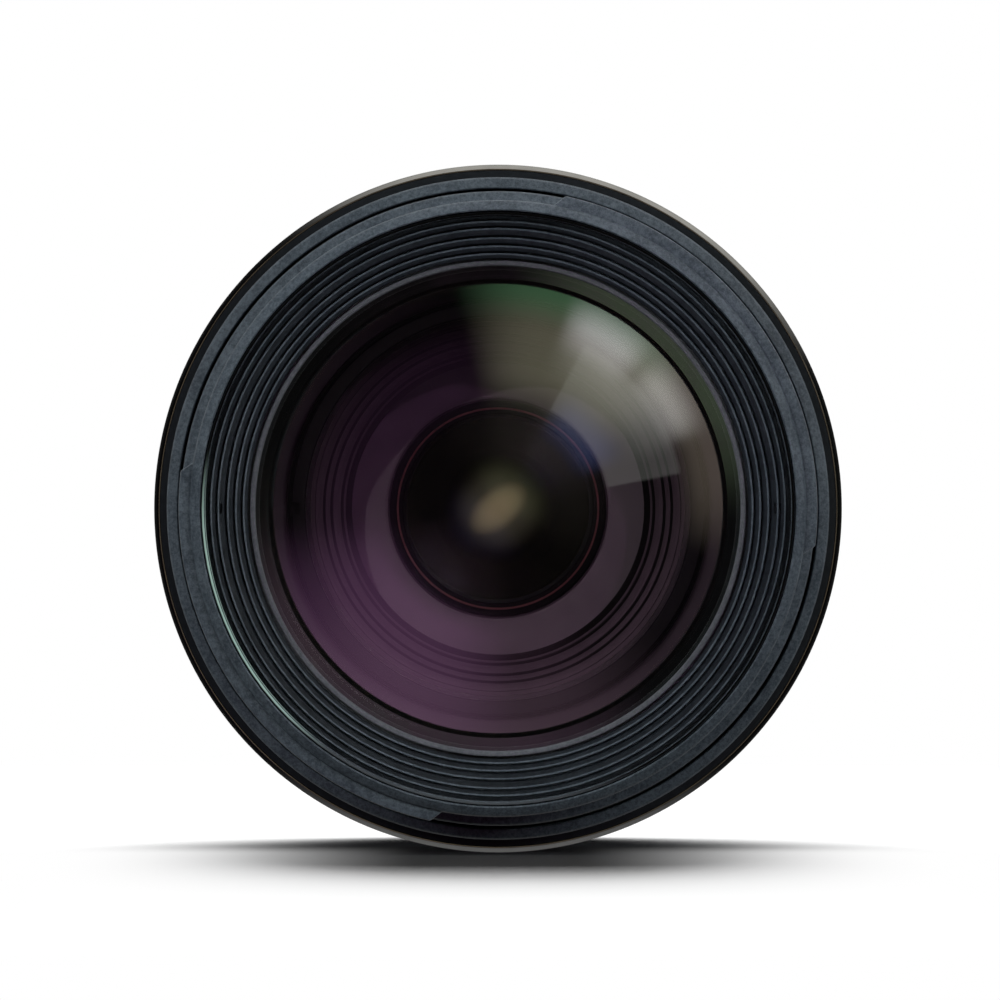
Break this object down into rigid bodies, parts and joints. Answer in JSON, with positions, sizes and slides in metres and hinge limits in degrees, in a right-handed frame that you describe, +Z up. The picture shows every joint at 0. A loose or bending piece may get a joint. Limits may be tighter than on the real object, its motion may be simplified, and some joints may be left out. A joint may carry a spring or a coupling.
{
  "type": "wide-angle lens",
  "caption": "Wide-angle zoom camera lens with ribbed zoom and focus rings, stepped front baffle, coated front glass, filter thread, hood lugs and a rear bayonet.",
  "frame": {"origin": "centre of the rear mounting face, on the optical axis", "axes": "-Y forward along the optical axis towards the subject, +Z up with the camera level, +X to the side that carries the focus switch"},
  "size_m": [0.078, 0.0976, 0.078],
  "materials": {
    "slate_body": "fine matt slate grey",
    "inner_barrel_plastic": "satin black, machined rings",
    "grip_rubber": "matt ribbed black rubber",
    "seal_rubber": "matt black",
    "mount_metal": "turned and satin polished",
    "screw_steel": "bright steel",
    "gilt_contact": "gilt, polished",
    "roller_brass": "turned brass",
    "key_steel": "ground steel",
    "black_plastic": "matt black",
    "switch_plastic": "satin black",
    "cell_plastic": "matt black, turned rings",
    "retaining_metal": "black anodised",
    "cam_metal": "dark anodised",
    "board_laminate": "green solder mask",
    "motor_metal": "turned steel",
    "leaf_steel": "thin matt black leaf",
    "iris_ring_plastic": "matt black",
    "front_glass": "polished, green and violet coatings",
    "inner_glass": "polished, coated"
  },
  "bodies": {
    "barrel": {"mount_plate": "mount_metal", "mount_seal": "seal_rubber", "mount_screws": "screw_steel", "rear_baffle": "black_plastic", "contact_block": "black_plastic", "contact_pins": "gilt_contact", "circuit_board": "board_laminate", "rear_barrel": "slate_body", "switch_panel": "black_plastic", "guide_tube": "cam_metal", "guide_screws": "screw_steel", "motor_stator": "motor_metal", "index_collar": "slate_body", "rear_cell": "black_plastic", "rear_element": "inner_glass", "relay_element": "inner_glass", "rear_retaining_ring": "retaining_metal"},
    "switch": {"focus_switch": "switch_plastic"},
    "focus_ring": {"focus_ring": "slate_body", "focus_grip": "grip_rubber", "focus_cam_barrel": "cam_metal", "focus_keys": "key_steel", "motor_rotor": "motor_metal"},
    "focus_group": {"focus_cell": "black_plastic", "focus_element": "inner_glass", "focus_retaining_ring": "retaining_metal", "focus_rollers": "roller_brass"},
    "zoom_ring": {"zoom_ring": "slate_body", "zoom_grip": "grip_rubber", "zoom_cam_barrel": "cam_metal", "zoom_keys": "key_steel", "barrel_seal": "seal_rubber"},
    "front_group": {"filter_ring": "slate_body", "filter_ring_screws": "screw_steel", "baffle_ring": "black_plastic", "front_element": "front_glass", "second_element": "inner_glass", "second_retaining_ring": "retaining_metal", "third_element": "inner_glass", "third_retaining_ring": "retaining_metal", "front_cell": "cell_plastic", "front_cell_screws": "screw_steel", "inner_barrel": "inner_barrel_plastic", "front_rollers": "roller_brass"},
    "variator": {"variator_cell": "cell_plastic", "doublet_front": "inner_glass", "doublet_rear": "inner_glass", "doublet_retaining_ring": "retaining_metal", "variator_rollers": "roller_brass", "iris_housing": "black_plastic", "iris_cover": "black_plastic", "iris_motor": "motor_metal"},
    "iris_ring": {"iris_ring": "iris_ring_plastic"},
    "iris_leaf_1": {"iris_leaf_1": "leaf_steel"},
    "iris_leaf_2": {"iris_leaf_2": "leaf_steel"},
    "iris_leaf_3": {"iris_leaf_3": "leaf_steel"},
    "iris_leaf_4": {"iris_leaf_4": "leaf_steel"},
    "iris_leaf_5": {"iris_leaf_5": "leaf_steel"},
    "iris_leaf_6": {"iris_leaf_6": "leaf_steel"},
    "iris_leaf_7": {"iris_leaf_7": "leaf_steel"}
  },
  "joints": [
    {"name": "zoom_ring_turn", "type": "hinge", "parent": "barrel", "child": "zoom_ring", "pos_m": [0, 0, 0], "axis": [0, -1, 0], "range_deg": [0, 66]},
    {"name": "front_group_slide", "type": "slide", "parent": "barrel", "child": "front_group", "axis": [0, -1, 0], "range_m": [0, 0.012]},
    {"name": "variator_slide", "type": "slide", "parent": "barrel", "child": "variator", "axis": [0, -1, 0], "range_m": [0, 0.009]},
    {"name": "focus_ring_turn", "type": "hinge", "parent": "barrel", "child": "focus_ring", "pos_m": [0, 0, 0], "axis": [0, -1, 0], "range_deg": [0, 90]},
    {"name": "focus_group_slide", "type": "slide", "parent": "barrel", "child": "focus_group", "axis": [0, -1, 0], "range_m": [0, 0.004]},
    {"name": "focus_switch_slide", "type": "slide", "parent": "barrel", "child": "switch", "axis": [0, -1, 0], "range_m": [0, 0.0022]},
    {"name": "iris_ring_turn", "type": "hinge", "parent": "variator", "child": "iris_ring", "pos_m": [0, 0, 0], "axis": [0, -1, 0], "range_deg": [0, 4.22]},
    {"name": "iris_leaf_1_turn", "type": "hinge", "parent": "variator", "child": "iris_leaf_1", "pos_m": [0.0168, -0.0425, 0], "axis": [0, -1, 0], "range_deg": [0, 28]},
    {"name": "iris_leaf_2_turn", "type": "hinge", "parent": "variator", "child": "iris_leaf_2", "pos_m": [0.01047, -0.0425, 0.01313], "axis": [0, -1, 0], "range_deg": [0, 28]},
    {"name": "iris_leaf_3_turn", "type": "hinge", "parent": "variator", "child": "iris_leaf_3", "pos_m": [-0.00374, -0.0425, 0.01638], "axis": [0, -1, 0], "range_deg": [0, 28]},
    {"name": "iris_leaf_4_turn", "type": "hinge", "parent": "variator", "child": "iris_leaf_4", "pos_m": [-0.01514, -0.0425, 0.00729], "axis": [0, -1, 0], "range_deg": [0, 28]},
    {"name": "iris_leaf_5_turn", "type": "hinge", "parent": "variator", "child": "iris_leaf_5", "pos_m": [-0.01514, -0.0425, -0.00729], "axis": [0, -1, 0], "range_deg": [0, 28]},
    {"name": "iris_leaf_6_turn", "type": "hinge", "parent": "variator", "child": "iris_leaf_6", "pos_m": [-0.00374, -0.0425, -0.01638], "axis": [0, -1, 0], "range_deg": [0, 28]},
    {"name": "iris_leaf_7_turn", "type": "hinge", "parent": "variator", "child": "iris_leaf_7", "pos_m": [0.01047, -0.0425, -0.01313], "axis": [0, -1, 0], "range_deg": [0, 28]}
  ],
  "couplings": [
    {"joint": "front_group_slide", "follows": "zoom_ring_turn", "m_per_rad": 0.010417},
    {"joint": "variator_slide", "follows": "zoom_ring_turn", "m_per_rad": 0.007813},
    {"joint": "focus_group_slide", "follows": "focus_ring_turn", "m_per_rad": 0.0025464},
    {"joint": "iris_leaf_1_turn", "follows": "iris_ring_turn", "ratio": 6.6397},
    {"joint": "iris_leaf_2_turn", "follows": "iris_ring_turn", "ratio": 6.6397},
    {"joint": "iris_leaf_3_turn", "follows": "iris_ring_turn", "ratio": 6.6397},
    {"joint": "iris_leaf_4_turn", "follows": "iris_ring_turn", "ratio": 6.6397},
    {"joint": "iris_leaf_5_turn", "follows": "iris_ring_turn", "ratio": 6.6397},
    {"joint": "iris_leaf_6_turn", "follows": "iris_ring_turn", "ratio": 6.6397},
    {"joint": "iris_leaf_7_turn", "follows": "iris_ring_turn", "ratio": 6.6397}
  ]
}
